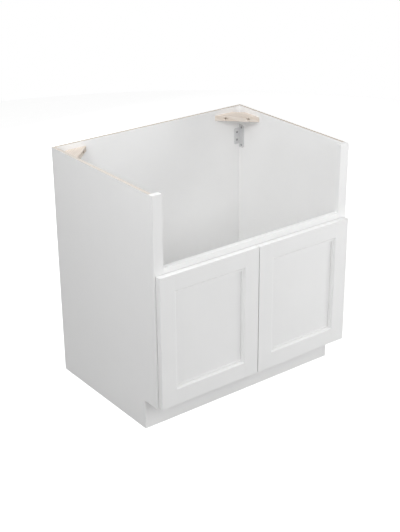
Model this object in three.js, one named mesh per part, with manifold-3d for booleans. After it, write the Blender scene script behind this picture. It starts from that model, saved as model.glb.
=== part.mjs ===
// Farmhouse sink base cabinet: a framed, two-door kitchen base with an open top and a
// cut-away front for an apron sink. Millimetres, +X to the right, +Y to the back, +Z up.
// The origin is under the middle of the cabinet, on the floor.
import * as THREE from "three";
import { mergeVertices } from "three/addons/utils/BufferGeometryUtils.js";
import Module from "manifold-3d";

const wasm = await Module();
wasm.setup();

// ---------------------------------------------------------------- driving dimensions

// Carcass
const cabinetWidth = 838.2; // 33 in
const cabinetDepth = 603.25; // 23 3/4 in, front of the face frame to the back
const cabinetHeight = 876.3; // 34 1/2 in
const sheetThickness = 12.7; // plywood
const toeKickHeight = 112;
const toeKickSetback = 73;

// Face frame
const frameThickness = 19.05;
const frameStileWidth = 38.1;
const frameRailHeight = 38.1;
const sinkApronHeight = 254; // open front above the top rail

// Doors
const doorThickness = 20.7;
const doorStandoff = 1.8; // back of the door to the face frame
const doorSideReveal = 6.35; // frame left showing beside the door
const doorBottomReveal = 5.5; // frame left showing under the door
const doorTopReveal = 20.9; // frame left showing over the door
const doorCentreGap = 3;
const doorFaceWidth = 58.7; // flat face of each stile and rail
const bevelWidth = 5.5; // sloping step inside the flat face
const bevelDepth = 5.5;
const ledgeWidth = 7.8; // flat step inside the bevel
const panelRecess = 9; // front of the door to the front of its panel
const doorPanelThickness = 6.35;
const grooveDepth = 9.5;
const panelEdgeRoom = 1.5; // room for the panel to swell at the bottom of its groove

// Corner blocks, one in each back corner under the rim
const blockLeg = 120; // along each wall from the inner corner
const blockWidth = 60; // across the bar
const blockThickness = 19.05;
const blockBelowRim = 19.3;
const blockScrewFromEnd = 31; // the bar's end to its screw, along the wall
const blockScrewSeat = 16; // wall to the underside of the screw's head
const blockScrewHeadRadius = 4;
const blockScrewHeadHeight = 2.4;
const blockScrewShankRadius = 2;

// Corner brackets, one under each corner block
const bracketThickness = 1.5;
const bracketBelowRim = 119.8; // rim to the bracket's middle
const backLeafWidth = 26;
const backLeafHeight = 64;
const backLeafCorner = 6;
const backLeafScrewSpacing = 30.5;
const backLeafScrewInset = 13;
const sideLeafWidth = 30;
const sideLeafHeight = 92;
const sideLeafCorner = 12;
const sideLeafScrewSpacing = 71;
const sideLeafScrewInset = 15;
const bracketScrewHeadRadius = 4.2;
const bracketScrewHeadHeight = 2.2;
const bracketScrewShankRadius = 1.8;

// Screws
const screwBite = 9.5; // shank inside the plywood
const screwPoint = 2.5; // tapered end of a shank

// Concealed hinges
const hingeFromDoorEnd = 89; // door's end to the middle of the hinge
const cupBoreRadius = 17.5;
const cupBoreDepth = 12.5;
const cupBoreInset = 22.5; // door's edge to the middle of the cup
const cupWall = 0.7;
const flangeThickness = 0.8;
const flangeRimWidth = 1.6; // flange beyond the bore
const flangeEarSpacing = 45; // screw ears, above and below the cup
const flangeEarRadius = 5.5;
const flangeEarInset = 9.5; // middle of the cup to the line through the ears
const armPlateHeight = 48;
const armPlateThickness = 1.2;
const armPlateFrontInset = 1; // frame's front to the plate's front edge
const armPlateDepth = 17;
const armPinPastStile = 2.55; // stile's inner edge to the frame pin
const armPinInFront = 5.5; // frame's front to the frame pin
const doorPinInset = 14.4; // door's edge to the door pin
const doorPinDepth = 4; // door's back to the door pin
const linkHeight = 5.8;
const linkThickness = 2.6;
const linkBend = 5.5; // how far the link's middle bows into the cup
const earThickness = 1.8;
const knuckleRadius = 2.4;
const hingePinRadius = 1.2;

// Door bumpers
const bumperRadius = 4;
const bumperInset = 10; // door's edges to the middle of the bumper

// Clearances
const fitGap = 0.3; // between pieces that are cut to fit each other
const pastFace = 1; // how far a cutting tool runs past the face that it cuts

// ---------------------------------------------------------------- derived places

const halfWidth = cabinetWidth / 2;
const innerSide = halfWidth - sheetThickness;
const innerBack = cabinetDepth - sheetThickness;
const stileInner = halfWidth - frameStileWidth;
const floorTop = toeKickHeight + frameRailHeight;
const floorUnderside = floorTop - sheetThickness;
const topRailTop = cabinetHeight - sinkApronHeight;
const doorBack = -doorStandoff;
const doorFront = doorBack - doorThickness;
const doorOuter = halfWidth - doorSideReveal;
const doorInner = doorCentreGap / 2;
const doorBottom = toeKickHeight + doorBottomReveal;
const doorTop = topRailTop - doorTopReveal;
const doorMemberWidth = doorFaceWidth + bevelWidth + ledgeWidth;
const grooveBottom = doorMemberWidth - grooveDepth;
const grooveFront = panelRecess - fitGap;
const grooveRear = panelRecess + doorPanelThickness + fitGap;
const cupMiddle = doorOuter - cupBoreInset;
const framePin = new THREE.Vector2(stileInner - armPinPastStile, -armPinInFront);
const doorPin = new THREE.Vector2(doorOuter - doorPinInset, doorBack - doorPinDepth);
const hingeHeights = {
  upper: doorTop - hingeFromDoorEnd,
  lower: doorBottom + hingeFromDoorEnd,
};
const blockTop = cabinetHeight - blockBelowRim;
const blockMiddle = blockTop - blockThickness / 2;
const blockScrewOffset = blockLeg - blockScrewFromEnd; // from the inner corner
const bracketMiddle = cabinetHeight - bracketBelowRim;

// ---------------------------------------------------------------- materials

const paint = (tint) => new THREE.MeshStandardMaterial({ color: tint, roughness: 0.45 });
const steel = (tint) =>
  new THREE.MeshStandardMaterial({ color: tint, roughness: 0.35, metalness: 1 });
const whitePaint = paint(0xf2f2f0);
const bareWood = new THREE.MeshStandardMaterial({ color: 0xdcc6a4, roughness: 0.7 });
const platedSteel = steel(0xb9bbbd);
const screwSteel = steel(0x5a5c5f);
const clearRubber = new THREE.MeshStandardMaterial({ color: 0xe8e8e4, roughness: 0.6 });

// ---------------------------------------------------------------- shapes and solids

// A box between two corners.
function box([x0, y0, z0], [x1, y1, z1]) {
  return new THREE.BoxGeometry(x1 - x0, y1 - y0, z1 - z0).translate(
    (x0 + x1) / 2,
    (y0 + y1) / 2,
    (z0 + z1) / 2,
  );
}

function outline(points) {
  return new THREE.Shape(points.map(([a, b]) => new THREE.Vector2(a, b)));
}

// An outline of (x, y) drawn out along Z.
function alongZ(shape, from, to) {
  const settings = { depth: to - from, bevelEnabled: false, curveSegments: 10 };
  return new THREE.ExtrudeGeometry(shape, settings).translate(0, 0, from);
}

// An outline of (y, z) drawn out along X.
function alongX(shape, from, to) {
  const turn = new THREE.Matrix4().makeBasis(
    new THREE.Vector3(0, 1, 0),
    new THREE.Vector3(0, 0, 1),
    new THREE.Vector3(1, 0, 0),
  );
  return alongZ(shape, from, to).applyMatrix4(turn);
}

// An outline of (x, z) drawn out along Y.
function alongY(shape, from, to) {
  const turn = new THREE.Matrix4().makeBasis(
    new THREE.Vector3(1, 0, 0),
    new THREE.Vector3(0, 0, 1),
    new THREE.Vector3(0, -1, 0),
  );
  return alongZ(shape, -to, -from).applyMatrix4(turn);
}

// A straight bar with round ends, seen from above.
function capsule(start, end, radius) {
  const heading = Math.atan2(end.y - start.y, end.x - start.x);
  const shape = new THREE.Shape();
  shape.absarc(start.x, start.y, radius, heading + Math.PI / 2, heading + 1.5 * Math.PI);
  shape.absarc(end.x, end.y, radius, heading - Math.PI / 2, heading + Math.PI / 2);
  return shape;
}

// A rectangle whose corners at the low end of its first axis are round.
function leaf([a0, b0], [a1, b1], corner) {
  const shape = new THREE.Shape();
  shape.moveTo(a1, b0);
  shape.lineTo(a1, b1);
  shape.lineTo(a0 + corner, b1);
  shape.absarc(a0 + corner, b1 - corner, corner, Math.PI / 2, Math.PI);
  shape.absarc(a0 + corner, b0 + corner, corner, Math.PI, 1.5 * Math.PI);
  return shape;
}

// A cylinder between two points.
function rod(start, end, radius, sides = 20) {
  const axis = end.clone().sub(start);
  const turn = new THREE.Quaternion().setFromUnitVectors(
    new THREE.Vector3(0, 1, 0),
    axis.clone().normalize(),
  );
  const middle = start.clone().add(end).multiplyScalar(0.5);
  return new THREE.CylinderGeometry(radius, radius, axis.length(), sides)
    .applyQuaternion(turn)
    .translate(middle.x, middle.y, middle.z);
}

function toSolid(geometry) {
  const bare = geometry.index ? geometry.toNonIndexed() : geometry.clone();
  for (const name of Object.keys(bare.attributes)) {
    if (name !== "position") bare.deleteAttribute(name);
  }
  const merged = mergeVertices(bare, 1e-4);
  const corners = merged.index.array;
  const kept = [];
  for (let i = 0; i < corners.length; i += 3) {
    const [a, b, c] = corners.slice(i, i + 3);
    if (a !== b && b !== c && c !== a) kept.push(a, b, c);
  }
  return new wasm.Manifold(
    new wasm.Mesh({
      numProp: 3,
      vertProperties: merged.attributes.position.array,
      triVerts: new Uint32Array(kept),
    }),
  );
}

function toGeometry(solid) {
  const { vertProperties, triVerts } = solid.getMesh();
  const geometry = new THREE.BufferGeometry();
  geometry.setAttribute("position", new THREE.BufferAttribute(vertProperties, 3));
  geometry.setIndex(new THREE.BufferAttribute(triVerts, 1));
  const flat = geometry.toNonIndexed();
  flat.computeVertexNormals();
  return flat;
}

function join(...geometries) {
  return toGeometry(geometries.map(toSolid).reduce((whole, piece) => whole.add(piece)));
}

function cut(geometry, tools) {
  const cutOne = (left, tool) => left.subtract(toSolid(tool));
  return toGeometry(tools.reduce(cutOne, toSolid(geometry)));
}

function piece(name, geometry, material) {
  const mesh = new THREE.Mesh(geometry, material);
  mesh.name = name;
  return mesh;
}

// ---------------------------------------------------------------- screws

const intoBack = new THREE.Vector3(0, 1, 0);
const intoSide = new THREE.Vector3(1, 0, 0);

// A pan head screw with the underside of its head at the seat.
function screw(seat, direction, kind) {
  const { headRadius, headHeight, shankRadius, shankLength } = kind;
  const profile = [
    [0, -shankLength],
    [shankRadius / 3, -shankLength],
    [shankRadius, screwPoint - shankLength],
    [shankRadius, 0],
    [headRadius, 0],
    [headRadius, headHeight * 0.4],
    [headRadius * 0.7, headHeight],
    [0, headHeight],
  ].map(([radius, height]) => new THREE.Vector2(radius, height));
  const turn = new THREE.Quaternion().setFromUnitVectors(
    new THREE.Vector3(0, -1, 0),
    direction,
  );
  return new THREE.LatheGeometry(profile, 16)
    .applyQuaternion(turn)
    .translate(seat.x, seat.y, seat.z);
}

// The hole that a screw's shank needs, from its seat to just past its point.
function pilotHole(seat, direction, kind) {
  const end = seat.clone().addScaledVector(direction, kind.shankLength + fitGap);
  const start = seat.clone().addScaledVector(direction, -fitGap);
  return rod(start, end, kind.shankRadius + fitGap);
}

const bracketScrew = {
  headRadius: bracketScrewHeadRadius,
  headHeight: bracketScrewHeadHeight,
  shankRadius: bracketScrewShankRadius,
  shankLength: bracketThickness + screwBite,
};

const blockScrew = {
  headRadius: blockScrewHeadRadius,
  headHeight: blockScrewHeadHeight,
  shankRadius: blockScrewShankRadius,
  shankLength: blockScrewSeat + screwBite,
};

// The seats of one side's screws, for the right half of the cabinet.
function screwSeats() {
  const backSeat = innerBack - bracketThickness;
  const sideSeat = innerSide - bracketThickness;
  const seats = [];
  for (const [number, end] of [1, -1].entries()) {
    const backHeight = bracketMiddle + (end * backLeafScrewSpacing) / 2;
    const sideHeight = bracketMiddle + (end * sideLeafScrewSpacing) / 2;
    seats.push({
      name: `bracket_back_screw_${number + 1}`,
      seat: new THREE.Vector3(innerSide - backLeafScrewInset, backSeat, backHeight),
      direction: intoBack,
      kind: bracketScrew,
    });
    seats.push({
      name: `bracket_side_screw_${number + 1}`,
      seat: new THREE.Vector3(sideSeat, innerBack - sideLeafScrewInset, sideHeight),
      direction: intoSide,
      kind: bracketScrew,
    });
  }
  seats.push({
    name: "block_back_screw",
    seat: new THREE.Vector3(
      innerSide - blockScrewOffset,
      innerBack - blockScrewSeat,
      blockMiddle,
    ),
    direction: intoBack,
    kind: blockScrew,
  });
  seats.push({
    name: "block_side_screw",
    seat: new THREE.Vector3(
      innerSide - blockScrewSeat,
      innerBack - blockScrewOffset,
      blockMiddle,
    ),
    direction: intoSide,
    kind: blockScrew,
  });
  return seats;
}

const seats = screwSeats();

function holesFor(test) {
  return seats
    .filter(test)
    .map(({ seat, direction, kind }) => pilotHole(seat, direction, kind));
}

// ---------------------------------------------------------------- carcass

function backPanel() {
  const panel = box([-innerSide, innerBack, 0], [innerSide, cabinetDepth, cabinetHeight]);
  const holes = seats
    .filter(({ direction }) => direction === intoBack)
    .flatMap(({ seat, direction, kind }) => [
      pilotHole(seat, direction, kind),
      pilotHole(seat.clone().setX(-seat.x), direction, kind),
    ]);
  return piece("back_panel", cut(panel, holes), whitePaint);
}

function bottomPanel() {
  const panel = box(
    [-innerSide, frameThickness, floorUnderside],
    [innerSide, innerBack, floorTop],
  );
  return piece("bottom_panel", panel, whitePaint);
}

function toeBoard() {
  const board = box(
    [-innerSide, toeKickSetback, 0],
    [innerSide, toeKickSetback + sheetThickness, floorUnderside],
  );
  return piece("toe_board", board, whitePaint);
}

function frameRail(name, bottom) {
  const rail = box(
    [-stileInner, 0, bottom],
    [stileInner, frameThickness, bottom + frameRailHeight],
  );
  return piece(name, rail, whitePaint);
}

function sidePanel(side) {
  const profile = outline([
    [frameThickness, toeKickHeight],
    [toeKickSetback, toeKickHeight],
    [toeKickSetback, 0],
    [cabinetDepth, 0],
    [cabinetDepth, cabinetHeight],
    [frameThickness, cabinetHeight],
  ]);
  const panel = alongX(profile, innerSide, halfWidth);
  const holes = holesFor(({ direction }) => direction === intoSide);
  return piece(`side_panel_${side}`, cut(panel, holes), whitePaint);
}

function frameStile(side) {
  const stile = box([stileInner, 0, toeKickHeight], [halfWidth, frameThickness, cabinetHeight]);
  return piece(`frame_stile_${side}`, stile, whitePaint);
}

// A mitred bar across the corner, with a pocket for each of its two screws.
function cornerBlock(side) {
  const shortLeg = blockLeg - blockWidth * Math.SQRT2;
  const plan = outline([
    [innerSide - blockLeg, innerBack],
    [innerSide, innerBack - blockLeg],
    [innerSide, innerBack - shortLeg],
    [innerSide - shortLeg, innerBack],
  ]);
  const bar = alongZ(plan, blockTop - blockThickness, blockTop);
  const pockets = seats
    .filter(({ kind }) => kind === blockScrew)
    .map(({ seat, direction }) => {
      const mouth = seat.clone().addScaledVector(direction, -blockLeg);
      return rod(mouth, seat, blockScrewHeadRadius + fitGap);
    });
  const holes = holesFor(({ kind }) => kind === blockScrew);
  return piece(`corner_block_${side}`, cut(bar, [...pockets, ...holes]), bareWood);
}

function cornerBracket(side) {
  const backLeaf = alongY(
    leaf(
      [innerSide - backLeafWidth, bracketMiddle - backLeafHeight / 2],
      [innerSide, bracketMiddle + backLeafHeight / 2],
      backLeafCorner,
    ),
    innerBack - bracketThickness,
    innerBack,
  );
  const sideLeaf = alongX(
    leaf(
      [innerBack - sideLeafWidth, bracketMiddle - sideLeafHeight / 2],
      [innerBack, bracketMiddle + sideLeafHeight / 2],
      sideLeafCorner,
    ),
    innerSide - bracketThickness,
    innerSide,
  );
  const holes = holesFor(({ kind }) => kind === bracketScrew);
  return piece(`corner_bracket_${side}`, cut(join(backLeaf, sideLeaf), holes), platedSteel);
}

function screws(side) {
  return seats.map(({ name, seat, direction, kind }) =>
    piece(`${side}_${name}`, screw(seat, direction, kind), screwSteel),
  );
}

// ---------------------------------------------------------------- doors

// The section of a door's stile or rail: distance in from the door's edge, and depth
// behind the door's front. A tool for coping a rail to it is the same section, grown.
function memberSection(grown) {
  return [
    [-grown, -grown],
    [doorFaceWidth + grown, -grown],
    [doorFaceWidth + bevelWidth + grown, bevelDepth - grown],
    [doorMemberWidth + grown, bevelDepth - grown],
    [doorMemberWidth + grown, grooveFront + grown],
    [grooveBottom + grown, grooveFront + grown],
    [grooveBottom + grown, grooveRear - grown],
    [doorMemberWidth + grown, grooveRear - grown],
    [doorMemberWidth + grown, doorThickness + grown],
    [-grown, doorThickness + grown],
  ];
}

// A stile stands at the door's outer edge (inward -1) or its inner edge (inward +1).
function doorStile(edge, inward, bottom, top, grown = 0) {
  const section = memberSection(grown).map(([across, depth]) => [
    edge + inward * across,
    doorFront + depth,
  ]);
  if (inward < 0) section.reverse();
  return alongZ(outline(section), bottom, top);
}

// A rail lies at the door's bottom (inward +1) or its top (inward -1), between the stiles.
function doorRail(edge, inward) {
  const section = memberSection(0).map(([across, depth]) => [
    doorFront + depth,
    edge + inward * across,
  ]);
  if (inward > 0) section.reverse();
  const bar = alongX(
    outline(section),
    doorInner + doorFaceWidth,
    doorOuter - doorFaceWidth,
  );
  const toolBottom = doorBottom - pastFace;
  const toolTop = doorTop + pastFace;
  return cut(bar, [
    doorStile(doorInner, 1, toolBottom, toolTop, fitGap),
    doorStile(doorOuter, -1, toolBottom, toolTop, fitGap),
  ]);
}

function doorPanel() {
  const inset = grooveBottom + panelEdgeRoom;
  const front = doorFront + panelRecess;
  return box(
    [doorInner + inset, front, doorBottom + inset],
    [doorOuter - inset, front + doorPanelThickness, doorTop - inset],
  );
}

function hingeStile() {
  const bores = Object.values(hingeHeights).map((height) =>
    rod(
      new THREE.Vector3(cupMiddle, doorBack - cupBoreDepth, height),
      new THREE.Vector3(cupMiddle, doorBack + pastFace, height),
      cupBoreRadius,
      40,
    ),
  );
  return cut(doorStile(doorOuter, -1, doorBottom, doorTop), bores);
}

function bumper(height) {
  const across = doorInner + bumperInset;
  return rod(
    new THREE.Vector3(across, doorBack + fitGap, height),
    new THREE.Vector3(across, -fitGap, height),
    bumperRadius,
  );
}

function door(side) {
  const freeStile = doorStile(doorInner, 1, doorBottom, doorTop);
  return [
    piece(`${side}_door_hinge_stile`, hingeStile(), whitePaint),
    piece(`${side}_door_free_stile`, freeStile, whitePaint),
    piece(`${side}_door_bottom_rail`, doorRail(doorBottom, 1), whitePaint),
    piece(`${side}_door_top_rail`, doorRail(doorTop, -1), whitePaint),
    piece(`${side}_door_panel`, doorPanel(), whitePaint),
    piece(`${side}_door_upper_bumper`, bumper(doorTop - bumperInset), clearRubber),
    piece(`${side}_door_lower_bumper`, bumper(doorBottom + bumperInset), clearRubber),
  ];
}

// ---------------------------------------------------------------- hinges

// Both ears of a fork: one above the link and one below it.
function ears(shape, height) {
  const near = linkHeight / 2 + fitGap;
  return [
    alongZ(shape, height + near, height + near + earThickness),
    alongZ(shape, height - near - earThickness, height - near),
  ];
}

function pinRod(at, height, reach, radius) {
  return rod(
    new THREE.Vector3(at.x, at.y, height - reach),
    new THREE.Vector3(at.x, at.y, height + reach),
    radius,
  );
}

function pinHole(at, height) {
  return pinRod(at, height, armPlateHeight / 2, hingePinRadius + fitGap);
}

function hingePin(at, height) {
  const reach = linkHeight / 2 + fitGap + earThickness;
  return pinRod(at, height, reach + fitGap, hingePinRadius);
}

// The arm's plate lies on the stile's inner edge, and its fork holds the frame pin.
function hingeArm(height) {
  const plateOuter = stileInner - fitGap;
  const plateInner = plateOuter - armPlateThickness;
  const plate = box(
    [plateInner, armPlateFrontInset, height - armPlateHeight / 2],
    [plateOuter, armPlateFrontInset + armPlateDepth, height + armPlateHeight / 2],
  );
  const rootMiddle = new THREE.Vector2(
    plateOuter - knuckleRadius,
    armPlateFrontInset + knuckleRadius,
  );
  const fork = ears(capsule(framePin, rootMiddle, knuckleRadius), height);
  return cut(join(plate, ...fork), [pinHole(framePin, height)]);
}

function hingeLink(height) {
  const along = framePin.clone().sub(doorPin).normalize();
  const bowed = new THREE.Vector2(-along.y, along.x).multiplyScalar(-linkBend);
  if (bowed.y > 0) bowed.negate();
  const elbow = framePin.clone().add(doorPin).multiplyScalar(0.5).add(bowed);
  const low = height - linkHeight / 2;
  const high = height + linkHeight / 2;
  const strip = (start, end) => alongZ(capsule(start, end, linkThickness / 2), low, high);
  const knuckle = (at) => pinRod(at, height, linkHeight / 2, knuckleRadius);
  const whole = join(
    strip(framePin, elbow),
    strip(elbow, doorPin),
    knuckle(framePin),
    knuckle(doorPin),
  );
  return cut(whole, [pinHole(framePin, height), pinHole(doorPin, height)]);
}

// The cup is a drawn steel pot in the door's bore, with a flange on the door's back.
function hingeCup(height) {
  const floor = doorBack - cupBoreDepth + fitGap;
  const depth = doorBack + flangeThickness - floor;
  const radius = cupBoreRadius - fitGap;
  const pot = new THREE.LatheGeometry(
    [
      [0, 0],
      [radius, 0],
      [radius, depth],
      [radius - cupWall, depth],
      [radius - cupWall, cupWall],
      [0, cupWall],
    ].map(([r, h]) => new THREE.Vector2(r, h)),
    40,
  ).translate(cupMiddle, floor, height);
  const rim = new THREE.Shape();
  rim.absarc(cupMiddle, height, cupBoreRadius + flangeRimWidth, 0, 2 * Math.PI);
  const earLine = cupMiddle - flangeEarInset;
  const strap = capsule(
    new THREE.Vector2(earLine, height - flangeEarSpacing / 2),
    new THREE.Vector2(earLine, height + flangeEarSpacing / 2),
    flangeEarRadius,
  );
  const flange = join(
    alongY(rim, doorBack, doorBack + flangeThickness),
    alongY(strap, doorBack, doorBack + flangeThickness),
  );
  const mouth = rod(
    new THREE.Vector3(cupMiddle, floor + cupWall, height),
    new THREE.Vector3(cupMiddle, doorBack + flangeThickness + pastFace, height),
    radius - cupWall,
    40,
  );
  const root = new THREE.Vector2(doorPin.x, floor + cupWall / 2);
  const lugs = ears(capsule(doorPin, root, knuckleRadius), height).map((lug) => {
    const below = box(
      [doorPin.x - cupBoreRadius, floor - cupBoreDepth, height - cupBoreRadius],
      [doorPin.x + cupBoreRadius, floor + cupWall / 2, height + cupBoreRadius],
    );
    return cut(lug, [below]);
  });
  return cut(join(cut(join(pot, flange), [mouth]), ...lugs), [pinHole(doorPin, height)]);
}

function hinge(side, place) {
  const height = hingeHeights[place];
  const name = `${side}_${place}_hinge`;
  return [
    piece(`${name}_arm`, hingeArm(height), platedSteel),
    piece(`${name}_link`, hingeLink(height), platedSteel),
    piece(`${name}_cup`, hingeCup(height), platedSteel),
    piece(`${name}_frame_pin`, hingePin(framePin, height), platedSteel),
    piece(`${name}_door_pin`, hingePin(doorPin, height), platedSteel),
  ];
}

// ---------------------------------------------------------------- assembly

// One half is drawn to the right of the middle, and the left half is its mirror image.
function half(side) {
  const group = new THREE.Group();
  group.scale.x = side === "left" ? -1 : 1;
  group.add(
    sidePanel(side),
    frameStile(side),
    cornerBlock(side),
    cornerBracket(side),
    ...screws(side),
    ...hinge(side, "upper"),
    ...hinge(side, "lower"),
    ...door(side),
  );
  return group;
}

const sinkBaseCabinet = new THREE.Group();
sinkBaseCabinet.name = "sink_base_cabinet";
const onOrigin = new THREE.Group(); // y = 0 inside it is the front of the face frame
onOrigin.position.y = -(cabinetDepth + doorFront) / 2;
onOrigin.add(
  backPanel(),
  bottomPanel(),
  toeBoard(),
  frameRail("frame_top_rail", topRailTop - frameRailHeight),
  frameRail("frame_bottom_rail", toeKickHeight),
  half("left"),
  half("right"),
);
sinkBaseCabinet.add(onOrigin);

export default sinkBaseCabinet;
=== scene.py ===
"""A white farmhouse sink base cabinet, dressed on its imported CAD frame.

Every length is in metres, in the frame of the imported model: +X to the right as one faces the
doors, +Y from the doors to the back, +Z up, with the origin on the floor under the middle.
"""

import logging
import math
from collections.abc import Callable, Sequence
from dataclasses import dataclass, field
from enum import Enum

import bmesh
import bpy
from mathutils import Matrix, Vector


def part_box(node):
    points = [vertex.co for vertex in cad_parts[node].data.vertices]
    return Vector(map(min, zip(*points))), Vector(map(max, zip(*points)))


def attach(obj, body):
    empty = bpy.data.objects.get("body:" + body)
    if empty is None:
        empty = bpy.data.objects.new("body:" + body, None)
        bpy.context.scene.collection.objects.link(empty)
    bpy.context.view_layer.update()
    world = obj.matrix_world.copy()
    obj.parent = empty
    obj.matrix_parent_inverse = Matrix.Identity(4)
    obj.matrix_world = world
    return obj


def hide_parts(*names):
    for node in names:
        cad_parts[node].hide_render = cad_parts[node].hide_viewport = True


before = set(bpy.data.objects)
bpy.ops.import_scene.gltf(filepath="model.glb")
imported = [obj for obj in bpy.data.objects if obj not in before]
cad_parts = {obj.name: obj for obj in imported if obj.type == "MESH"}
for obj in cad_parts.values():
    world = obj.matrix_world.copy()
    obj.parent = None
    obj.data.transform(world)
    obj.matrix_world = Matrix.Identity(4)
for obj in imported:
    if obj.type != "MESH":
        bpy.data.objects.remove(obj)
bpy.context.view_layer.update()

LOG = logging.getLogger("sink_base_cabinet")

Point = tuple[float, float]  # a place in a flat section
Corner = tuple[float, float, float]  # a place in a flat section, and the radius there
Spot = tuple[float, float, float]  # a place in the cabinet's frame
Span = tuple[float, float]  # a low and a high value
Stretch = tuple[float, float, float]  # counts along, across and through the grain
Colour = tuple[float, float, float]
Socket = bpy.types.NodeSocket
Solid = bmesh.types.BMesh
FaceTest = Callable[[Vector], bool]  # tells by a face's normal whether the face was left raw

WHITE = (1.0, 1.0, 1.0, 1.0)


# ---------------------------------------------------------------- named choices


class Side(Enum):
    """A side of the cabinet or of a door, with the sign of its x."""

    LEFT = -1
    RIGHT = 1

    @property
    def word(self) -> str:
        """The side as the CAD nodes spell it."""
        return self.name.lower()

    @property
    def other(self) -> "Side":
        """The side across from this one."""
        return Side(-self.value)

    def edge(self, low: Vector, high: Vector) -> float:
        """The x at which a box ends on this side."""
        return low.x if self is Side.LEFT else high.x


class Wall(Enum):
    """The two walls that meet in a back corner."""

    BACK = "back"
    SIDE = "side"

    def out(self, side: Side) -> Vector:
        """The direction from the wall into the cabinet, in a side's back corner."""
        return Vector((0, -1, 0)) if self is Wall.BACK else Vector((-side.value, 0, 0))


class Place(Enum):
    """The two heights of a door's rails, hinges and bumpers."""

    UPPER = "upper"
    LOWER = "lower"


class Along(Enum):
    """The direction in which a piece is drawn out or its grain runs."""

    X = 0
    Y = 1
    Z = 2

    @property
    def vector(self) -> Vector:
        """The direction as a unit vector."""
        return Vector([float(self.value == i) for i in range(3)])


class Slot(Enum):
    """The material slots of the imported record."""

    WHITE_PAINT = "white_paint"
    BARE_WOOD = "bare_wood"
    PLATED_STEEL = "plated_steel"
    SCREW_STEEL = "screw_steel"
    CLEAR_RUBBER = "clear_rubber"


# ---------------------------------------------------------------- materials


class NodeTree:
    """A node tree while it is wired up."""

    def __init__(self, tree: bpy.types.NodeTree) -> None:
        """Takes up the tree of a material or of a world."""
        self.tree = tree

    def node(self, kind: str, **inputs: object) -> bpy.types.Node:
        """Adds a node.

        Args:
            kind: The node's type, without its "ShaderNode" prefix.
            **inputs: A socket to link, or a value to set, for each input's name, with "_" for
                a space.

        Returns:
            The new node.
        """
        made = self.tree.nodes.new(f"ShaderNode{kind}")
        for name, value in inputs.items():
            self.feed(made.inputs[name.replace("_", " ")], value)
        return made

    def feed(self, socket: Socket, value: object) -> None:
        """Links a socket to an input, or sets the input to a value.

        Args:
            socket: The input.
            value: An output socket, a number, or a sequence of numbers.
        """
        if isinstance(value, Socket):
            self.tree.links.new(value, socket)
        else:
            socket.default_value = value

    def reckon(self, operation: str, *values: object) -> Socket:
        """Works out a number.

        Args:
            operation: What is done, in the words of the maths node.
            *values: The numbers or sockets that go into it, in turn.

        Returns:
            The result's socket.
        """
        step = self.node("Math")
        step.operation = operation
        for socket, value in zip(step.inputs, values):
            self.feed(socket, value)
        return step.outputs[0]

    def either(self, factor: Socket, first: bpy.types.Node, second: bpy.types.Node) -> Socket:
        """Takes one of two shaders.

        Args:
            factor: 0 for the first and 1 for the second.
            first: A shader's node.
            second: Another shader's node.

        Returns:
            The mixed shader's socket.
        """
        mixed = self.node("MixShader", Fac=factor)
        self.feed(mixed.inputs[1], first.outputs[0])
        self.feed(mixed.inputs[2], second.outputs[0])
        return mixed.outputs[0]

    def shown(self) -> Socket:
        """A factor that is 1 for rays that show the backdrop, straight, in gloss or through glass.

        Returns:
            The factor's socket.
        """
        path = self.node("LightPath")
        total = path.outputs["Is Camera Ray"]
        for name in ("Is Glossy Ray", "Is Transmission Ray"):
            total = self.reckon("MAXIMUM", total, path.outputs[name])
        return total


@dataclass(frozen=True)
class Pattern:
    """A soft pattern of noise in a finish.

    Its cells are counted in each metre, its detail is how many finer octaves are added, and its
    share is how far it brings a second colour through at most.
    """

    cells: Stretch
    detail: float = 2.0
    share: float = 1.0


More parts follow.
